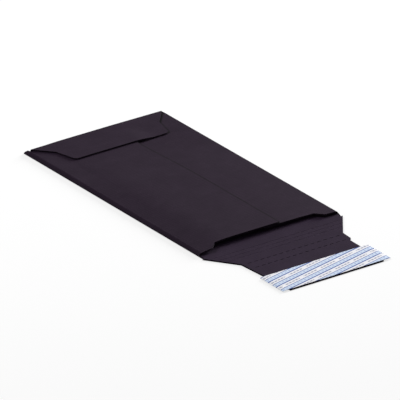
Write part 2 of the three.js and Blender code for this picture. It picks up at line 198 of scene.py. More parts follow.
@dataclass(frozen=True)
class PocketShape:
    """Sizes of the folded pocket, in millimetres, with Y counted from the mouth fold."""

    width: float = 170.0
    length: float = 312.0
    side_height: float = 4.8
    side_lean: float = 2.0
    squareness: float = 0.8
    crease_inset: float = 23.0
    bulge_mouth: float = 3.4
    bulge_closed: float = 0.5
    bulge_hold: float = 150.0
    crease_share_mouth: float = 0.65
    crease_share_closed: float = 0.2
    lower_crease_share: float = 0.5
    layer_gap: float = 0.25
    seam_x: float = 18.2
    seam_lap: float = 18.0
    mouth_setback: float = 6.5
    recess_depth: float = 8.0
    recess_half_width: float = 68.0
    recess_chamfer: float = 8.0
    fold_reach: float = 3.0
    flap_inset: float = 5.5
    flap_depth: float = 49.0
    taper_depth: float = 22.5
    taper_width: float = 16.5
    corner_draw: float = 6.0
    corner_radius: float = 4.0
    relief: float = 0.6
    corner_reach: float = 4.2
    corner_press: float = 0.22
    corner_tip: float = 1.2
    corner_back: float = 2.2
    flap_sag: float = 1.5
    sag_reach: float = 24.0
    sag_run: float = 30.0
    board: Board = field(default_factory=Board)

    @property
    def half(self) -> float:
        """Half the pocket's width."""
        return self.width / 2

    @property
    def crease_x(self) -> float:
        """Distance of a side crease from the middle."""
        return self.half - self.crease_inset

    @property
    def level_x(self) -> float:
        """Distance from the middle where the back starts to fall to the crease."""
        return self.crease_x - self.crease_inset

    @property
    def fold_x(self) -> float:
        """Distance of a side fold's centre from the middle."""
        return self.half - self.side_height / 2

    @property
    def fold_top(self) -> float:
        """Distance from the middle where a back panel leaves its side fold."""
        return self.fold_x - self.side_lean

    @property
    def slit(self) -> float:
        """Distance from the middle of the slit between the bottom fold and the pocket's corner."""
        return self.flap_half + self.relief

    @property
    def back_level(self) -> float:
        """Mid-height of the back panels where they leave the side folds."""
        return self.side_height - self.board.thickness / 2

    @property
    def layer_step(self) -> float:
        """Rise from one layer to the next."""
        return self.board.thickness + self.layer_gap

    @property
    def fold_start(self) -> float:
        """Y at which the front panel turns into the bottom fold."""
        return self.length - self.fold_reach

    @property
    def back_end(self) -> float:
        """Y at which the back panels end inside the bottom fold."""
        return self.fold_start - self.relief

    @property
    def corner_end(self) -> float:
        """Y of the pocket's closed corners, beside the bottom fold."""
        return self.length + self.corner_reach

    @property
    def flap_half(self) -> float:
        """Half the width of the bottom flap at its fold."""
        return self.half - self.flap_inset

    @property
    def knee(self) -> tuple[float, float]:
        """X and Y of the corner between the bottom flap's two tapers."""
        return self.flap_half - self.taper_width, self.length - self.taper_depth

    @property
    def taper_slopes(self) -> tuple[float, float]:
        """Gain in half width per millimetre of Y along the bottom flap's two tapers."""
        return (self.taper_width / (self.taper_depth - self.fold_reach),
                self.corner_draw / (self.flap_depth - self.taper_depth))

    @property
    def flap_free(self) -> float:
        """Y of the bottom flap's free edge."""
        return self.length - self.flap_depth

    def easing(self, y: Array) -> Array:
        """How far the dome has gone down to its height at the closed end, from 0 to 1."""
        return smooth((y - self.bulge_hold) / (self.flap_free - self.bulge_hold))

    def bulge(self, y: Array) -> Array:
        """Height of the dome of the back over its side folds."""
        return self.bulge_mouth + (self.bulge_closed - self.bulge_mouth) * self.easing(y)

    def dome_share(self, distance: Array, y: Array) -> Array:
        """Share of the dome at a distance from the middle.

        Straight from the side fold to the crease, then a parabola to the level panel.

        Args:
            distance: distance from the middle.
            y: distance from the mouth fold.

        Returns:
            The share, 0 at the side fold and 1 on the level panel.
        """
        change = self.crease_share_closed - self.crease_share_mouth
        crease = self.crease_share_mouth + change * self.easing(y)
        strip = crease * np.maximum(0, self.fold_top - distance) / (self.fold_top - self.crease_x)
        past = np.maximum(0, distance - self.level_x) / (self.crease_x - self.level_x)
        return np.where(distance >= self.crease_x, strip, 1 - (1 - crease) * past * past)

    def upper_z(self, x: Array, y: Array) -> Array:
        """Mid-height of the wide back panel, which is on top at the seam."""
        return self.back_level + self.bulge(y) * self.dome_share(np.abs(x), y)

    def lower_z(self, x: Array, y: Array) -> Array:
        """Mid-height of the narrow back panel.

        One layer lower in the lap, then a parabola to its crease and a straight strip to the
        side fold.

        Args:
            x: distance to the right of the middle.
            y: distance from the mouth fold.

        Returns:
            The heights.
        """
        lapped = self.bulge(y) - self.layer_step
        crease = self.lower_crease_share * lapped
        t = np.clip((x - self.seam_x) / (self.crease_x - self.seam_x), 0, 1)
        inside = self.back_level + lapped + (crease - lapped) * t * t
        rise = crease * np.maximum(0, self.fold_top - x) / (self.fold_top - self.crease_x)
        return np.where(x <= self.crease_x, inside, self.back_level + rise)

    def flap_z(self, x: Array, y: Array) -> Array:
        """Mid-height of the bottom flap: on the wide panel, then a span to the side fold.

        Past the seam the span eases down towards the narrow panel, more so at its free edge.

        Args:
            x: distance to the right of the middle.
            y: distance from the mouth fold.

        Returns:
            The heights.
        """
        at_seam = self.upper_z(np.full_like(x, self.seam_x), y)
        past = x - self.seam_x
        sag = self.flap_sag * smooth(past / self.sag_reach)
        sag = sag * smooth((self.back_end - y) / self.sag_run)
        share = past / (self.fold_top - self.seam_x)
        span = at_seam + (self.back_level - at_seam) * share - sag
        beyond = np.maximum(self.lower_z(x, y), span)
        return np.where(x <= self.seam_x, self.upper_z(x, y), beyond) + self.layer_step

    def mouth_y(self, distance: Array) -> Array:
        """Mouth edge of a back panel: straight, then a chamfer into the wide recess."""
        t = np.clip((self.recess_half_width - distance) / self.recess_chamfer, 0, 1)
        return self.mouth_setback + self.recess_depth * t

    def flap_half_width(self, distance: Array) -> Array:
        """Half width of the bottom flap.

        A wide taper, then a slight one, then a quarter circle at each free corner.

        Args:
            distance: distance from the closed end.

        Returns:
            The half width at each distance.
        """
        share = np.clip((distance - self.fold_reach) / (self.taper_depth - self.fold_reach), 0, 1)
        first = self.flap_half - self.taper_width * share
        second = self.taper_slopes[1] * np.maximum(0, distance - self.taper_depth)
        past = np.maximum(0, distance - (self.flap_depth - self.corner_radius))
        drop = np.sqrt(np.maximum(0, self.corner_radius**2 - past**2))
        return first - second - (self.corner_radius - drop)


@dataclass
class Pocket:
    """The folded and glued part of the blank: front, side folds, back panels and bottom flap."""

    shape: PocketShape
    origin_y: float
    lap_columns: int = 4
    narrow_columns: int = 14
    wide_columns: int = 25
    side_columns: tuple[int, int, int] = (2, 4, 7)
    front_columns: int = 29
    fold_steps: int = 20
    tube_rows: int = 105
    flute_density: float = 0.3
    flap_columns: int = 72
    fold_rows: int = 22
    corner_rows: int = 10
    turn_gap: float = 0.4

    def columns(self, y_share: Array, density: float = 1.0) -> Array:
        """Middle surface of the board round the pocket.

        The columns walk from the narrow back panel's free edge over the right fold, the front
        panel and the left fold to the wide back panel's free edge. Each column runs along Y from
        its mouth edge to its closed end by the given shares.

        Args:
            y_share: shares of the way from the mouth to the closed end, one per row.
            density: share of the usual column count.

        Returns:
            Points, rows by columns by 3.
        """
        s = self.shape

        def spread(start: float, end: float, count: int) -> Array:
            """Even stations after the start, up to the end."""
            return np.linspace(start, end, max(2, round(count * density)) + 1)[1:]

        lap_start = s.seam_x - s.seam_lap
        inner = s.recess_half_width - s.recess_chamfer
        lap = np.concatenate([[lap_start], spread(lap_start, s.seam_x, self.lap_columns)])
        stops = (inner, s.crease_x, s.recess_half_width, s.slit)
        strips = [spread(a, b, n) for a, b, n in zip(stops, stops[1:], self.side_columns)]
        side = np.concatenate([*strips, [s.fold_top]])
        right = np.concatenate([lap, spread(s.seam_x, inner, self.narrow_columns), side])
        wide = spread(-inner, lap_start, self.wide_columns)[:-1]
        left = np.concatenate([-side[::-1], [-inner], wide, lap])
        turn = np.concatenate([[0], spread(0, 1, self.fold_steps)])[1:-1]
        front = np.concatenate([
            [s.fold_x, s.slit + s.relief, s.slit], spread(s.slit, -s.slit, self.front_columns),
            [-s.slit - s.relief, -s.fold_x],
        ])
        share = y_share[:, None]

        def along(start: Array, end: Array) -> Array:
            """Y of each column at each share."""
            return start[None, :] + (end - start)[None, :] * share

        def pressed(z: Array, y: Array) -> Array:
            """Heights with the corner beyond the bottom fold pressed towards the front panel."""
            low = s.board.thickness / 2
            corner = smooth((y - s.back_end) / (s.corner_end - s.back_end))
            return low + (z - low) * (1 - s.corner_press * corner)

        def panel(x: Array, height: Height) -> Array:
            """Columns of a back panel, longer in the corner beside the bottom fold.

            Args:
                x: X of each column.
                height: the panel's mid-height as a function of X and Y.

            Returns:
                Points, rows by columns by 3.
            """
            in_corner = np.abs(x) > s.slit + TOLERANCE
            end = np.where(in_corner, s.corner_end - s.corner_back, s.back_end)
            y = along(s.mouth_y(np.abs(x)), end)
            grid = np.broadcast_to(x, y.shape)
            return np.stack([grid, y, pressed(height(grid, y), y)], 2)

        def fold(sign: float, shares: Array) -> Array:
            """Columns of a side fold.

            Half a squared-off circle from the back level to the front level, which leans inwards
            with its height. Its closed end is pressed a little flatter and slants to a tip below.

            Args:
                sign: 1 for the right fold, -1 for the left one.
                shares: share of the half circle for each column, 0 at the back level.

            Returns:
                Points, rows by columns by 3.
            """
            angle = np.pi / 2 - np.pi * shares
            radius = s.side_height / 2 - s.board.thickness / 2
            rise = np.sign(np.sin(angle)) * np.abs(np.sin(angle)) ** s.squareness
            out = radius * np.abs(np.cos(angle)) ** s.squareness - s.side_lean * (1 + rise) / 2
            start = s.mouth_setback * (1 - smooth(shares * 2 - 1))
            low = smooth(shares)
            y = along(start, s.corner_end + s.corner_tip * low - s.corner_back * (1 - low))
            x = np.broadcast_to(sign * (s.fold_x + out), y.shape)
            z = np.broadcast_to(s.side_height / 2 + radius * rise, y.shape)
            return np.stack([x, y, pressed(z, y)], 2)

        beside = np.abs(front) > s.slit + s.relief / 2
        y = along(np.zeros_like(front), np.where(beside, s.corner_end + s.corner_tip, s.fold_start))
        level = np.full_like(y, s.board.thickness / 2)
        base = np.stack([np.broadcast_to(front, y.shape), y, level], 2)
        sections = [panel(right, s.lower_z), fold(1.0, turn), base, fold(-1.0, turn[::-1]),
                    panel(left, s.upper_z)]
        return np.concatenate(sections, axis=1)

    def faces(self, middle: Array, normal: Array, layer: Layer, travel: Array) -> list[Array]:
        """A ply's two faces, at fixed or waving heights along the normal of the middle surface.

        Args:
            middle: points of the middle surface, counted from the mouth fold.
            normal: its outward unit normals.
            layer: the ply.
            travel: distance across the flutes at each point.

        Returns:
            The outer and the inner face, in the part's frame.
        """
        shift = np.array([0.0, self.origin_y, 0.0])
        heights = self.shape.board.offsets(layer, travel)
        return [middle + normal * height[..., None] + shift for height in heights]

    def wrap(self, layer: Layer) -> bpy.types.Object:
        """One ply of the tube of front, side folds and back panels.

        Args:
            layer: the ply.

        Returns:
            The new piece.
        """
        s = self.shape
        if layer is Layer.FLUTES:
            rows = s.board.flute_rows(0, s.corner_end) / s.corner_end
            middle = self.columns(rows, self.flute_density)
        else:
            middle = self.columns(np.linspace(0, 1, self.tube_rows))
        outer, inner = self.faces(middle, section_normals(middle), layer, middle[..., 1])
        return slab(f"pocket_{layer.value}_ply", outer, inner)

    def flap_middle(self, distance: Array, turn: Array) -> tuple[Array, Array]:
        """Middle surface and normals of the bottom flap.

        Rows turn half a circle round the closed end, then run back over the panels. In the turn
        a row's height is the fold's middle minus its half height times the cosine of the turn.

        Args:
            distance: distance from the closed end for each row past the turn, else negative.
            turn: angle of the turn for each row.

        Returns:
            The middle points and the outward normals.
        """
        s = self.shape
        folded = np.maximum(distance, 0)
        half = np.where(distance < s.fold_reach, s.flap_half, s.flap_half_width(folded))
        u = np.linspace(-1, 1, self.flap_columns + 1)
        x = half[:, None] * u[None, :]
        y = np.where(distance < 0, s.fold_start, s.length - folded)
        y_grid = np.broadcast_to(y[:, None], x.shape)
        top = s.flap_z(x, np.minimum(y_grid, s.back_end))
        low = s.board.thickness / 2
        centre = (top + low) / 2
        reach = s.fold_reach - low
        point_y = y_grid + reach * np.sin(turn)[:, None]
        point_z = centre - (centre - low) * np.cos(turn)[:, None]
        normal = np.zeros(x.shape + (3,))
        normal[..., 1] = np.sin(turn)[:, None]
        normal[..., 2] = -np.cos(turn)[:, None]
        return np.stack([x, point_y, point_z], 2), normal

    def flap(self, layer: Layer) -> bpy.types.Object:
        """One ply of the bottom flap with its fold round the closed end.

        Rows follow equal angles in the turn, each flute on the flat, and the sine of equal angles
        in the rounded free corners.

        Args:
            layer: the ply.

        Returns:
            The new piece.
        """
        s = self.shape
        turns = np.linspace(0, np.pi, self.fold_rows)
        round_start = s.flap_depth - s.corner_radius
        past = s.board.flute_rows(s.fold_reach + self.turn_gap, round_start)
        quarter = np.linspace(0, np.pi / 2, self.corner_rows)[1:]
        corner = round_start + s.corner_radius * np.sin(quarter)
        distance = np.concatenate([np.full(self.fold_rows, -1.0), past, corner])
        turn = np.concatenate([turns, np.full(len(past) + len(corner), np.pi)])
        middle, normal = self.flap_middle(distance, turn)
        steps = np.linalg.norm(np.diff(middle[:, self.flap_columns // 2], axis=0), axis=1)
        travel = s.fold_start + np.concatenate([[0], np.cumsum(steps)])
        across = np.broadcast_to(travel[:, None], middle.shape[:2]).copy()
        outer, inner = self.faces(middle, normal, layer, across)
        return slab(f"bottom_flap_{layer.value}_ply", inner, outer)

    def build(self) -> list[bpy.types.Object]:
        """All plies of the tube and of the bottom flap."""
        return [make(layer) for make in (self.wrap, self.flap) for layer in Layer]

    def dress(self, plies: list[bpy.types.Object], finishes: Finishes,
              lapped: bpy.types.Material) -> None:
        """Dress the plies, and the tube's outer one in the finish with painted shadow lines beside
        the seam and the flap's right end.
        """
        dress_plies(plies, finishes)
        dress(plies[0], lapped)


@dataclass
class ClosingFlap:
    """The open flap beyond the mouth: shoulders, score lines and tear strip with its tab."""

    board: Board
    origin_y: float
    half_width: float = 85.0
    length: float = 110.0
    shoulder_length: float = 33.5
    shoulder_half: float = 61.5
    free_half: float = 56.3
    tear_line: float = 48.0
    tear_width: float = 12.0
    slit_length: float = 4.4
    slit_tie: float = 3.2
    slit_width: float = 0.8
    tab_slant: float = 3.6
    tab_draw: float = 0.8
    margin: float = 1.5
    flat_rows: int = 90
    row_gap: float = 0.04
    score_spacing: float = 7.0
    score_count: int = 3
    score_depth: float = 0.35
    score_width: float = 1.8
    bend_length: float = 6.0
    bend_rows: int = 26

    @property
    def tear_rows(self) -> tuple[float, float]:
        """Distances of the two slit rows from the mouth fold."""
        return self.tear_line - self.tear_width, self.tear_line

    @property
    def scores(self) -> list[float]:
        """Distances of the score lines from the mouth fold."""
        return [self.score_spacing * (i + 1) for i in range(self.score_count)]

    def edge(self, distance: Array) -> Array:
        """Half width of the flap: a slanted shoulder, then a slight taper.

        Args:
            distance: distance from the mouth fold.

        Returns:
            The half width at each distance.
        """
        slant = (self.shoulder_half - self.half_width) * distance / self.shoulder_length
        draw = (self.shoulder_half - self.free_half) / (self.length - self.shoulder_length)
        beyond = self.shoulder_half - draw * (distance - self.shoulder_length)
        return np.where(distance <= self.shoulder_length, self.half_width + slant, beyond)

    def right_edge(self, distance: Array) -> Array:
        """Half width on the pull tab's side: drawn in by a slanted step past the tear strip.

        Args:
            distance: distance from the mouth fold.

        Returns:
            The half width at each distance.
        """
        tab_end = self.tear_line + self.tab_slant
        beyond = np.interp(distance, [tab_end, self.length],
                           [self.free_half + self.tab_draw, self.free_half])
        step = np.clip((distance - self.tear_line) / self.tab_slant, 0, 1)
        return self.edge(distance) * (1 - step) + beyond * step

    def row_lines(self, layer: Layer) -> Array:
        """Distances of the grid's rows, with one at every crease, slit side and corner.

        Args:
            layer: the ply, because the flutes have rows of their own.

        Returns:
            The distances from the mouth fold, in order.
        """
        lines = [np.linspace(0, self.bend_length, self.bend_rows)]
        if layer is Layer.FLUTES:
            lines.append(self.board.flute_rows(self.bend_length, self.length))
        else:
            lines.append(np.linspace(self.bend_length, self.length, self.flat_rows))
        for row in self.tear_rows:
            lines.append(row + self.slit_width / 2 * np.array([-1, 1]))
        lines.append(self.tear_line + self.tab_slant * np.array([0, 0.5, 1]))
        lines.append(np.array([self.shoulder_length]))
        for score in self.scores:
            lines.append(score + self.score_width / 2 * np.array([-1, -0.5, 0, 0.5, 1]))
        rows = np.unique(np.round(np.concatenate(lines), 4))
        return rows[np.concatenate([[True], np.diff(rows) > self.row_gap])]

    def slit_lines(self) -> tuple[Array, Array]:
        """The columns of the flap's grid, with one at each end of each slit.

        Returns:
            Shares of the width where columns run, and which of the cells between them are slits.
        """
        room = 2 * (self.shoulder_half - self.margin - self.slit_tie)
        pitch = self.slit_length + self.slit_tie
        count = math.floor((room + self.slit_tie) / pitch)
        first = -(count * pitch - self.slit_tie) / 2
        starts = first + pitch * np.arange(count)
        ends = starts + self.slit_length
        inside = np.stack([starts, ends], 1).ravel() / self.shoulder_half
        share = np.concatenate([[-1, (inside[0] - 1) / 2], inside, [(inside[-1] + 1) / 2, 1]])
        middle = (share[:-1] + share[1:]) / 2 * self.shoulder_half
        cut = ((middle[:, None] > starts) & (middle[:, None] < ends)).any(axis=1)
        return share, cut

    def ply(self, layer: Layer) -> bpy.types.Object:
        """One ply of the flap, a grid over shares of its width with the slit cells left out.

        Each score line squeezes the ply's heights by a smooth hump across its width.

        Args:
            layer: the ply.

        Returns:
            The new piece.
        """
        rows = self.row_lines(layer)
        share, cut = self.slit_lines()
        half = self.edge(rows)
        right = self.right_edge(rows)
        x = -half[:, None] + (half + right)[:, None] * (share[None, :] + 1) / 2
        y = np.broadcast_to(-rows[:, None], x.shape)
        press = np.zeros_like(rows)
        for score in self.scores:
            near = 1 - np.abs(rows - score) / (self.score_width / 2)
            press += self.score_depth * smooth(near)
        upper, lower = self.board.offsets(layer, y.copy())
        squeeze = 1 - press[:, None] / self.board.thickness
        middle = self.board.thickness / 2
        shift = np.array([0.0, self.origin_y, 0.0])
        face = np.stack([x, y, (middle - lower) * squeeze], 2) + shift
        back = np.stack([x, y, (middle - upper) * squeeze], 2) + shift
        centre = (rows[:-1] + rows[1:]) / 2
        slit_row = np.zeros_like(centre, bool)
        for line in self.tear_rows:
            slit_row |= np.abs(centre - line) < self.slit_width / 2
        keep = ~(slit_row[:, None] & cut[None, :])
        return slab(f"closing_flap_{layer.value}_ply", back, face, keep)

    def build(self) -> list[bpy.types.Object]:
        """All plies, each with fine rows beside the mouth fold and its transform applied.

        Returns:
            The plies, in the order of the layers.
        """
        plies = [self.ply(layer) for layer in Layer]
        for ply in plies:
            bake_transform(ply)
        return plies

    def dress(self, plies: list[bpy.types.Object], finishes: Finishes) -> None:
        """Dress each ply in its layer's finish."""
        dress_plies(plies, finishes)


@dataclass
class ReleaseLiner:
    """Silicone paper over the adhesive, whose free ends hang a little below its middle."""

    origin_y: float
    flap_half: float = 58.0
    length: float = 130.0
    depth: float = 39.0
    from_hinge: float = 70.5
    height: float = 1.8
    paper: float = 0.14
    sag: float = 0.55
    ripple: float = 0.07
    ripple_length: float = 5.2
    columns: int = 131
    rows: int = 40

    def build(self) -> bpy.types.Object:
        """A thin closed sheet.

        Its ends sag with the square of their reach past the flap, and a slow sine along each end
        lifts and lowers it a little.

        Returns:
            The sheet, which rides on the closing flap.
        """
        x = np.linspace(-self.length / 2, self.length / 2, self.columns)
        y = -self.from_hinge - np.linspace(0, self.depth, self.rows)
        grid_x, grid_y = np.meshgrid(x, y)
        over = np.maximum(0, np.abs(grid_x) - self.flap_half) / (self.length / 2 - self.flap_half)
        wave = self.ripple * np.sin(grid_y / self.ripple_length + np.sign(grid_x)) * over
        z = self.height - self.sag * over**2 + wave
        y_place = grid_y + self.origin_y
        face = np.stack([grid_x, y_place, z + self.paper], 2)
        back = np.stack([grid_x, y_place, z], 2)
        piece = slab("release_liner_sheet", back, face)
        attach(piece, "closing_flap")
        return piece

    def dress(self, piece: bpy.types.Object) -> None:
        """Dress the sheet in its print."""
        dress(piece, LinerPrint().material())


def math_node(operation: str, reflected: bool = False) -> Callable[..., "Socket"]:
    """A socket's method that puts a Math node on the socket and, at most, one other value.

    Args:
        operation: the Math node's operation.
        reflected: whether the other value comes first.

    Returns:
        The method.
    """
    def method(this: "Socket", other: "Socket | float" = 0.0) -> "Socket":
        """The Math node's output."""
        first, second = (other, this) if reflected else (this, other)
        return this.tree.node("ShaderNodeMath", {"operation": operation}, {0: first, 1: second})
    return method


class Socket:
    """A shader socket with the arithmetic that a formula needs."""

    def __init__(self, tree: "Tree", out: bpy.types.NodeSocket) -> None:
        """Keep the tree that the socket belongs to."""
        self.tree = tree
        self.out = out

    def sibling(self, output: int) -> "Socket":
        """Another output of the same node."""
        return Socket(self.tree, self.out.node.outputs[output])

    __add__, __radd__ = math_node("ADD"), math_node("ADD", reflected=True)
    __sub__, __rsub__ = math_node("SUBTRACT"), math_node("SUBTRACT", reflected=True)
    __mul__, __rmul__ = math_node("MULTIPLY"), math_node("MULTIPLY", reflected=True)
    __truediv__, __rtruediv__ = math_node("DIVIDE"), math_node("DIVIDE", reflected=True)
    most = math_node("MAXIMUM")
    sine = math_node("SINE")
    fraction = math_node("FRACT")
    size = math_node("ABSOLUTE")
    floor = math_node("FLOOR")

    def step(self, low: float, high: float) -> "Socket":
        """Smooth step from 0 at low to 1 at high."""
        return self.tree.node("ShaderNodeMapRange", {"interpolation_type": "SMOOTHSTEP"},
                              {0: self, 1: low, 2: high, 3: 0.0, 4: 1.0})


class Tree:
    """A node tree, to which every node is added in one way."""

    def __init__(self, tree: bpy.types.NodeTree) -> None:
        """Keep the tree's nodes and links."""
        self.nodes = tree.nodes
        self.links = tree.links

    def feed(self, value: object, socket: bpy.types.NodeSocket) -> None:
        """Link a socket of the tree to an input, or give the input a number or colour.

        Args:
            value: a socket of this tree, a number or a colour.
            socket: the input.
        """
        if isinstance(value, Socket):
            self.links.new(value.out, socket)
        else:
            socket.default_value = value

    def node(self, kind: str, settings: dict | None = None, values: dict | None = None,
             output: int | str = 0) -> Socket:
        """Add a node.

        Args:
            kind: the node's type.
            settings: the node's own settings.
            values: numbers, colours or sockets for its inputs, by index or name.
            output: which output to return.

        Returns:
            The chosen output.
        """
        made = self.nodes.new(kind)
        for key, value in (settings or {}).items():
            setattr(made, key, value)
        for key, value in (values or {}).items():
            self.feed(value, made.inputs[key])
        return Socket(self, made.outputs[output])

    def split_camera(self, others: bpy.types.NodeSocket, camera: Socket,
                     into: bpy.types.NodeSocket) -> None:
        """Feed an output with one shader for camera rays and another for all other rays.

        Args:
            others: the shader that other rays meet.
            camera: the shader that the camera sees.
            into: the output node's input.
        """
        path = self.node("ShaderNodeLightPath", output="Is Camera Ray")
        values = {0: path, 1: Socket(self, others), 2: camera}
        self.feed(self.node("ShaderNodeMixShader", {}, values), into)


class Shader(Tree):
    """A material's node tree with one Principled shader."""

    def __init__(self, name: str) -> None:
        """Start a node material."""
        self.material = bpy.data.materials.new(name)
        self.material.use_nodes = True
        super().__init__(self.material.node_tree)
        self.principled = self.nodes["Principled BSDF"]

    def position(self) -> tuple[Socket, Socket, Socket, Socket]:
        """Object coordinates and their X, Y and Z, in metres."""
        point = self.node("ShaderNodeTexCoord", output="Object")
        x = self.node("ShaderNodeSeparateXYZ", {}, {0: point})
        return point, x, x.sibling(1), x.sibling(2)

    def stretched(self, point: Socket, scale: Triple) -> Socket:
        """Coordinates scaled along each axis."""
        return self.node("ShaderNodeMapping", {}, {"Vector": point, "Scale": scale})

    def noise(self, point: Socket, scale: float, detail: float = 3.0,
              roughness: float = 0.5) -> Socket:
        """Fractal noise, from 0 to 1."""
        values = {"Vector": point, "Scale": scale, "Detail": detail, "Roughness": roughness}
        return self.node("ShaderNodeTexNoise", {}, values)

    def mix(self, factor: Socket | float, a: object, b: object) -> Socket:
        """Colour between a and b."""
        return self.node("ShaderNodeMix", {"data_type": "RGBA"}, {0: factor, 6: a, 7: b}, 2)

    def bump(self, height: Socket, distance: float, strength: float = 1.0,
             normal: Socket | None = None) -> Socket:
        """Normal bent by a height.

        Args:
            height: the height, from 0 to 1.
            distance: what a height of 1 stands for, in metres.
            strength: how much of the bend shows.
            normal: the normal to bend, or none for the surface's own.

        Returns:
            The bent normal.
        """
        values = {"Height": height, "Distance": distance, "Strength": strength}
        if normal is not None:
            values["Normal"] = normal
        return self.node("ShaderNodeBump", {}, values)

    def set_seen_by_camera(self, glow: float, diffuse_share: float) -> None:
        """Show the camera mostly an even glow, while other rays still meet the Principled shader.

        Args:
            glow: brightness of the glow.
            diffuse_share: how much of a lit white surface shows through, so that shadows stay.
        """
        even = self.node("ShaderNodeEmission", {}, {"Strength": glow})
        lit = self.node("ShaderNodeBsdfDiffuse", {}, {"Color": WHITE})
        seen = self.node("ShaderNodeMixShader", {}, {0: diffuse_share, 1: even, 2: lit})
        self.split_camera(self.principled.outputs[0], seen,
                          self.nodes["Material Output"].inputs["Surface"])

    def set(self, **inputs: object) -> None:
        """Set or link the Principled shader's inputs, spaces written as underscores."""
        for key, value in inputs.items():
            self.feed(value, self.principled.inputs[key.replace("_", " ")])


def rgba(red: float, green: float, blue: float) -> tuple[float, float, float, float]:
    """Linear colour from 8-bit sRGB values.

    Each channel is a share of 255. A dark one is divided by 12.92, and any other follows the
    standard's power of 2.4.

    Args:
        red: the red channel, from 0 to 255.
        green: the green channel.
        blue: the blue channel.

    Returns:
        The colour with an alpha of 1.
    """
    def linear(value: float) -> float:
        """One channel."""
        c = value / 255
        return c / 12.92 if c <= 0.04045 else ((c + 0.055) / 1.055) ** 2.4
    return linear(red), linear(green), linear(blue), 1.0


@dataclass(frozen=True)
class BoardFinish:
    """Black through-dyed paper ply: matt, fibrous, with the flutes showing as a faint washboard.

    Colours are 8-bit sRGB. Lengths are in millimetres, bump heights in metres, and noise scales
    per metre.
    """

    name: str
    colour: Triple = (33, 21, 36)
    pale: Triple = (43, 31, 46)
    lint: Triple = (118, 108, 118)
    roughness: float = 0.85
    roughness_change: float = 0.2
    specular: float = 0.12
    cloud_scale: float = 55.0
    fibre_scale: float = 900.0
    speck_scale: float = 2400.0
    cloud_stretch: Triple = (1, 1.3, 1)
    fibre_stretch: Triple = (1, 3.2, 1)
    cloud_weight: float = 0.9
    fibre_weight: float = 1.1
    tone_level: float = 0.42
    lint_range: tuple[float, float] = (0.70, 0.80)
    lint_share: float = 0.25
    washboard: float = 0.00006
    fibre_relief: float = 0.7
    grain: float = 0.00005
    grain_strength: float = 0.9
    flute_pitch: float = 3.2
    origin_y: float = 0.0

    def shaded(self, s: Shader, base: Socket, place: list[Socket]) -> Socket:
        """The ply's colour with no painted shadow: as it is."""
        return base

    def material(self) -> bpy.types.Material:
        """Fibre noise mottles the colour, and the washboard is a sine along Y under the fibres.

        Returns:
            The material.
        """
        s = Shader(self.name)
        point, *place = s.position()
        cloud = s.noise(s.stretched(point, self.cloud_stretch), self.cloud_scale,
                        detail=4.0, roughness=0.6)
        fibre = s.noise(s.stretched(point, self.fibre_stretch), self.fibre_scale,
                        detail=2.0, roughness=0.65)
        specks = s.noise(point, self.speck_scale, detail=1.0)
        tone = (cloud - 0.5) * self.cloud_weight + (fibre - 0.5) * self.fibre_weight
        tone = (tone + self.tone_level).step(0.0, 1.0)
        base = s.mix(tone, rgba(*self.colour), rgba(*self.pale))
        base = s.mix(specks.step(*self.lint_range) * self.lint_share, base, rgba(*self.lint))
        base = self.shaded(s, base, place)
        wave = ((place[1] - self.origin_y * MM) * (2 * math.pi / (self.flute_pitch * MM))).sine()
        flutes = s.bump(wave * 0.5 + 0.5, self.washboard)
        relief = fibre * self.fibre_relief + specks * (1 - self.fibre_relief)
        fibres = s.bump(relief, self.grain, strength=self.grain_strength, normal=flutes)
        s.set(Base_Color=base, Normal=fibres, Specular_IOR_Level=self.specular,
              Roughness=self.roughness + (fibre - 0.5) * self.roughness_change)
        return s.material


@dataclass(frozen=True)
class ShadowPaintedFinish(BoardFinish):
    """The tube's outer ply with a painted shadow beside the seam and beside the bottom flap's
    slanted right end.
    """

    # pressed is the colour of the painted shadow, and shade is how much of it shows.
    pressed: Triple = (6, 4, 6)
    shade: float = 0.8
    back_from: tuple[float, float] = (1.8, 2.2)
    seam_x: float = 0.0
    seam_offset: float = 0.3
    seam_edge: float = 0.3
    seam_reach: float = 2.4
    knee: tuple[float, float] = (0.0, 0.0)
    taper_slopes: tuple[float, float] = (0.0, 0.0)
    taper_end: float = -24.0
    taper_fade: float = 2.0
    taper_shadow_start: float = 1.2
    taper_reach: float = 4.0

    def painted_seam_shadow(self, x: Socket) -> Socket:
        """Mask of the painted shadow strip beside the seam's cut edge, 1 at the edge."""
        edge = (self.seam_x + self.seam_offset) * MM
        return 1 - (x - edge).size().step(self.seam_edge * MM, self.seam_reach * MM)

    def painted_taper_shadow(self, x: Socket, y: Socket) -> Socket:
        """Mask of the painted shadow strip beside the bottom flap's slanted right end, 1 at the
        end.

        The slanted end's X is the knee's plus the greater of its two slopes times the distance
        from the knee.

        Args:
            x: X in metres.
            y: Y in metres.

        Returns:
            The mask, which fades out past the flap's free edge.
        """
        past = y - (self.origin_y + self.knee[1]) * MM
        first, second = (past * slope for slope in self.taper_slopes)
        slant = first.most(second) + self.knee[0] * MM
        near = 1 - (x - slant).size().step(self.taper_shadow_start * MM, self.taper_reach * MM)
        return near * past.step((self.taper_end - self.taper_fade) * MM, self.taper_end * MM)

    def shaded(self, s: Shader, base: Socket, place: list[Socket]) -> Socket:
        """The ply's colour with painted shadow beside the seam and the flap's slanted end, on the
        back only.

        Args:
            s: the material's shader.
            base: the colour of the ply.
            place: X, Y and Z in metres.

        Returns:
            The colour.
        """
        x, y, z = place
        back = z.step(*(height * MM for height in self.back_from))
        for mask in (self.painted_seam_shadow(x), self.painted_taper_shadow(x, y)):
            base = s.mix(mask * back * self.shade, base, rgba(*self.pressed))
        return base


@dataclass(frozen=True)
class Stripe:
    """A stripe of the print, in shares of the bands' period."""

    centre: float
    half: float
    blur: float = 0.012

    def mask(self, phase: Socket) -> Socket:
        """1 inside the stripe and 0 outside."""
        return 1 - (phase - self.centre).size().step(self.half, self.half + self.blur)


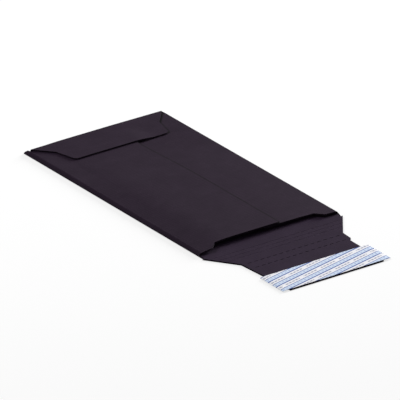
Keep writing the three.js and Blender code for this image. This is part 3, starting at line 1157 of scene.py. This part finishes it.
@dataclass(frozen=True)
class LinerPrint:
    """Pale release paper printed with generic slanted bands, fine lines and small lozenges.

    Pitches and shifts are in millimetres, and the beat's shift counts band shifts.
    """

    name: str = "release_print"
    paper: Triple = (250, 250, 255)
    band: Triple = (214, 231, 255)
    line: Triple = (42, 82, 164)
    mark: Triple = (86, 94, 134)
    slant: float = 13.0
    period: float = 13.0
    pale_band: Stripe = Stripe(0.28, 0.19)
    band_share: float = 0.9
    first_line: Stripe = Stripe(0.06, 0.055)
    second_line: Stripe = Stripe(0.49, 0.03)
    line_share: float = 0.95
    dash_row: Stripe = Stripe(0.76, 0.065)
    dash_share: float = 0.65
    band_shift: float = 2.3
    lozenge_pitch: float = 5.2
    lozenge_slopes: tuple[float, float] = (2.2, 8.0)
    lozenge_edge: tuple[float, float] = (0.6, 0.74)
    lozenge_share: float = 0.4
    dash_pitch: float = 4.6
    dash_edge: tuple[float, float] = (0.34, 0.4)
    beat_pitch: float = 26.0
    beat_shift: float = 3.0
    beat_edge: tuple[float, float] = (0.22, 0.24)
    roughness: float = 0.38
    roughness_change: float = 0.15
    cockle_scale: float = 90.0
    cockle: float = 0.0002
    coat: float = 0.15

    def material(self) -> bpy.types.Material:
        """The print is a function of the distance across the slanted bands and along them.

        Each period has one pale band with a fine line on both sides, lozenges inside it and a row
        of dashes beside it, with gaps that a slower beat leaves. Lozenges and dashes are shifted
        from each band to the next.

        Returns:
            The material.
        """
        s = Shader(self.name)
        point, x, y, _ = s.position()
        turn = math.radians(self.slant)
        across = (y * math.cos(turn) - x * math.sin(turn)) / (self.period * MM)
        along = (x * math.cos(turn) + y * math.sin(turn)) / MM
        phase = across.fraction()
        shift = across.floor() * self.band_shift
        band = self.pale_band.mask(phase)
        lines = self.first_line.mask(phase) + self.second_line.mask(phase)
        place = ((along + shift) / self.lozenge_pitch).fraction() - 0.5
        reach = (place.size() * self.lozenge_slopes[0]
                 + (phase - self.pale_band.centre).size() * self.lozenge_slopes[1])
        lozenge = 1 - reach.step(*self.lozenge_edge)
        beat = ((along + shift * self.beat_shift) / self.beat_pitch).fraction()
        gap = (((along + shift) / self.dash_pitch).fraction() - 0.5).size().step(*self.dash_edge)
        dashes = self.dash_row.mask(phase) * (1 - gap) * beat.step(*self.beat_edge)
        base = rgba(*self.paper)
        for mask, share, ink in (
            (band, self.band_share, self.band), (lozenge, self.lozenge_share, self.line),
            (lines, self.line_share, self.line), (dashes, self.dash_share, self.mark),
        ):
            base = s.mix(mask * share, base, rgba(*ink))
        cockles = s.noise(point, self.cockle_scale)
        s.set(Base_Color=base, Coat_Weight=self.coat,
              Normal=s.bump(cockles, self.cockle, strength=0.5),
              Roughness=self.roughness + (cockles - 0.5) * self.roughness_change)
        return s.material


@dataclass(frozen=True)
class GlueFinish:
    """Dried glue or tacky adhesive: a smooth, slightly uneven film."""

    name: str
    colour: Triple
    roughness: float
    shade: float = 0.9
    flow_scale: float = 260.0
    flow_stretch: Triple = (1, 0.3, 1)
    flow_edge: tuple[float, float] = (0.3, 0.7)
    flow_height: float = 0.0002
    roughness_change: float = 0.1

    def material(self) -> bpy.types.Material:
        """Stretched noise gives the film its flow marks.

        Returns:
            The material.
        """
        s = Shader(self.name)
        point, *_ = s.position()
        flow = s.noise(s.stretched(point, self.flow_stretch), self.flow_scale)
        low = (channel * self.shade for channel in self.colour)
        s.set(Base_Color=s.mix(flow.step(*self.flow_edge), rgba(*low), rgba(*self.colour)),
              Roughness=self.roughness + (flow - 0.5) * self.roughness_change,
              Normal=s.bump(flow, self.flow_height, strength=0.6))
        return s.material


def dress(piece: bpy.types.Object, material: bpy.types.Material) -> None:
    """Give a piece one material."""
    piece.data.materials.clear()
    piece.data.materials.append(material)


def dress_plies(plies: list[bpy.types.Object], finishes: Finishes) -> None:
    """Give plies that come in the order of the layers, once or more, their layers' finishes."""
    for ply, layer in zip(plies, cycle(Layer)):
        dress(ply, finishes[layer])


@dataclass(frozen=True)
class Lamp:
    """A square soft light that faces the mailer, in metres and watts."""

    name: str
    place: Triple
    size: float
    power: float

    def build(self) -> None:
        """Add the light, with its -Z turned from its place to the origin."""
        data = bpy.data.lights.new(self.name, "AREA")
        data.size = self.size
        data.energy = self.power
        light = bpy.data.objects.new(self.name, data)
        light.location = self.place
        light.rotation_euler = (-Vector(self.place)).to_track_quat("-Z", "Y").to_euler()
        bpy.context.scene.collection.objects.link(light)


@dataclass(frozen=True)
class Studio:
    """Pale floor, soft lights and the camera at the photograph's angle."""

    azimuth: float = -34.33
    elevation: float = 24.54
    roll: float = -1.06
    distance: float = 9.816
    offset_x: float = 72.06
    offset_y: float = -38.08
    pixels_per_mm: float = 1.0109
    frame_pixels: float = 400.0
    sensor_width: float = 36.0
    clip: tuple[float, float] = (0.1, 100.0)
    origin_y: float = 0.0
    floor_half: float = 12.0
    floor_drop: float = 0.00005
    floor_tone: Triple = (0.35, 0.35, 0.35)
    floor_roughness: float = 0.9
    backdrop: float = 1.0
    shadow_share: float = 0.3
    sky: float = 0.3
    lamps: tuple[Lamp, ...] = (
        Lamp("key_right", (2.1, 0.35, 0.75), 1.0, 64.0),
        Lamp("top_left", (-0.9, 0.9, 1.6), 0.6, 17.0),
    )

    def camera(self) -> None:
        """Place the camera on its line of sight, so that the mailer lies in the frame as fitted.

        The line of sight points from the subject along the azimuth and elevation. The offsets are
        distances of the subject's mouth fold from that line, across and up in the view.
        """
        a, e, r = (math.radians(v) for v in (self.azimuth, self.elevation, self.roll))
        sight = Vector((math.sin(a) * math.cos(e), -math.cos(a) * math.cos(e), math.sin(e)))
        level = Vector((math.cos(a), math.sin(a), 0.0))
        rise = sight.cross(level)
        right = level * math.cos(r) + rise * math.sin(r)
        up = rise * math.cos(r) - level * math.sin(r)
        place = sight * self.distance - (right * self.offset_x + up * self.offset_y) * MM
        place += Vector((0.0, self.origin_y * MM, 0.0))
        data = bpy.data.cameras.new("camera")
        data.sensor_width = self.sensor_width
        view_width = self.frame_pixels / self.pixels_per_mm * MM
        data.lens = data.sensor_width * self.distance / view_width
        data.clip_start, data.clip_end = self.clip
        camera = bpy.data.objects.new("camera", data)
        turn = Matrix((right, up, sight)).transposed()
        camera.matrix_world = Matrix.Translation(place) @ turn.to_4x4()
        bpy.context.scene.collection.objects.link(camera)
        bpy.context.scene.camera = camera

    def floor(self) -> None:
        """A wide pale floor just under the mailer, white to the camera except in the shadow."""
        mesh = bpy.data.meshes.new("floor_mesh")
        turns = ((-1, -1), (1, -1), (1, 1), (-1, 1))
        corners = [(x * self.floor_half, y * self.floor_half, -self.floor_drop) for x, y in turns]
        mesh.from_pydata(corners, [], [(0, 1, 2, 3)])
        floor = bpy.data.objects.new("floor", mesh)
        bpy.context.scene.collection.objects.link(floor)
        s = Shader("floor_paper")
        s.set(Base_Color=(*self.floor_tone, 1.0), Roughness=self.floor_roughness)
        s.set_seen_by_camera(self.backdrop, self.shadow_share)
        dress(floor, s.material)

    def world(self) -> None:
        """Dim even surroundings, which look white to the camera."""
        world = bpy.data.worlds.new("studio")
        world.use_nodes = True
        tree = Tree(world.node_tree)
        dim = tree.nodes["Background"]
        tree.feed(WHITE, dim.inputs["Color"])
        tree.feed(self.sky, dim.inputs["Strength"])
        white = tree.node("ShaderNodeBackground", {}, {"Color": WHITE, "Strength": self.backdrop})
        tree.split_camera(dim.outputs[0], white, tree.nodes["World Output"].inputs["Surface"])
        bpy.context.scene.world = world

    def build(self) -> None:
        """Camera, floor, surroundings, lamps and view settings."""
        self.camera()
        self.floor()
        self.world()
        for lamp in self.lamps:
            lamp.build()
        bpy.context.scene.view_settings.view_transform = "Standard"


def main() -> None:
    """Build and dress the mailer, then the studio."""
    joint = next(j for j in frame["joints"] if j["name"] == "closing_flap_fold")
    origin_y = joint["pos_m"][1] / MM
    board = Board()
    shape = PocketShape(board=board)
    outside = BoardFinish("board_outside", origin_y=origin_y, flute_pitch=board.flute_pitch)
    # The tube's outer ply in a finish with painted shadow beside the seam and the bottom flap's
    # right end.
    lapped = ShadowPaintedFinish("board_painted_shadow", origin_y=origin_y, flute_pitch=board.flute_pitch,
                          seam_x=shape.seam_x, knee=shape.knee, taper_slopes=shape.taper_slopes)
    inside = replace(outside, name="board_inside", colour=(36, 23, 41), pale=(46, 33, 52))
    core = BoardFinish("board_flutes", colour=(26, 20, 26), pale=(36, 29, 36), washboard=0.0)
    finishes = {Layer.OUTER: outside.material(), Layer.INNER: inside.material(),
                Layer.FLUTES: core.material()}

    pocket = Pocket(shape, origin_y)
    closing_flap = ClosingFlap(board, origin_y)
    tube, lid = pocket.build(), closing_flap.build()
    pocket.dress(tube, finishes, lapped.material())
    closing_flap.dress(lid, finishes)
    for piece in tube + lid:
        log.info("%s: %d faces", piece.name, len(piece.data.polygons))
    for piece in tube:
        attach(piece, "pocket")
        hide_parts("pocket")
    for piece in lid:
        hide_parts("closing_flap")

    release = ReleaseLiner(origin_y)
    liner = release.build()
    release.dress(liner)
    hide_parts("release_liner")
    log.info("%s: %d faces", liner.name, len(liner.data.polygons))

    glue = GlueFinish("dried_glue", colour=(214, 204, 168), roughness=0.35).material()
    tack = GlueFinish("tacky_strip", colour=(232, 228, 208), roughness=0.25).material()
    for node, finish in (("seam_glue", glue), ("bottom_flap_glue", glue), ("adhesive_strip", tack)):
        dress(frame["nodes"][node], finish)
        log.info("%s: dressed", node)

    Studio(origin_y=origin_y).build()


if __name__ == "__main__":
    main()
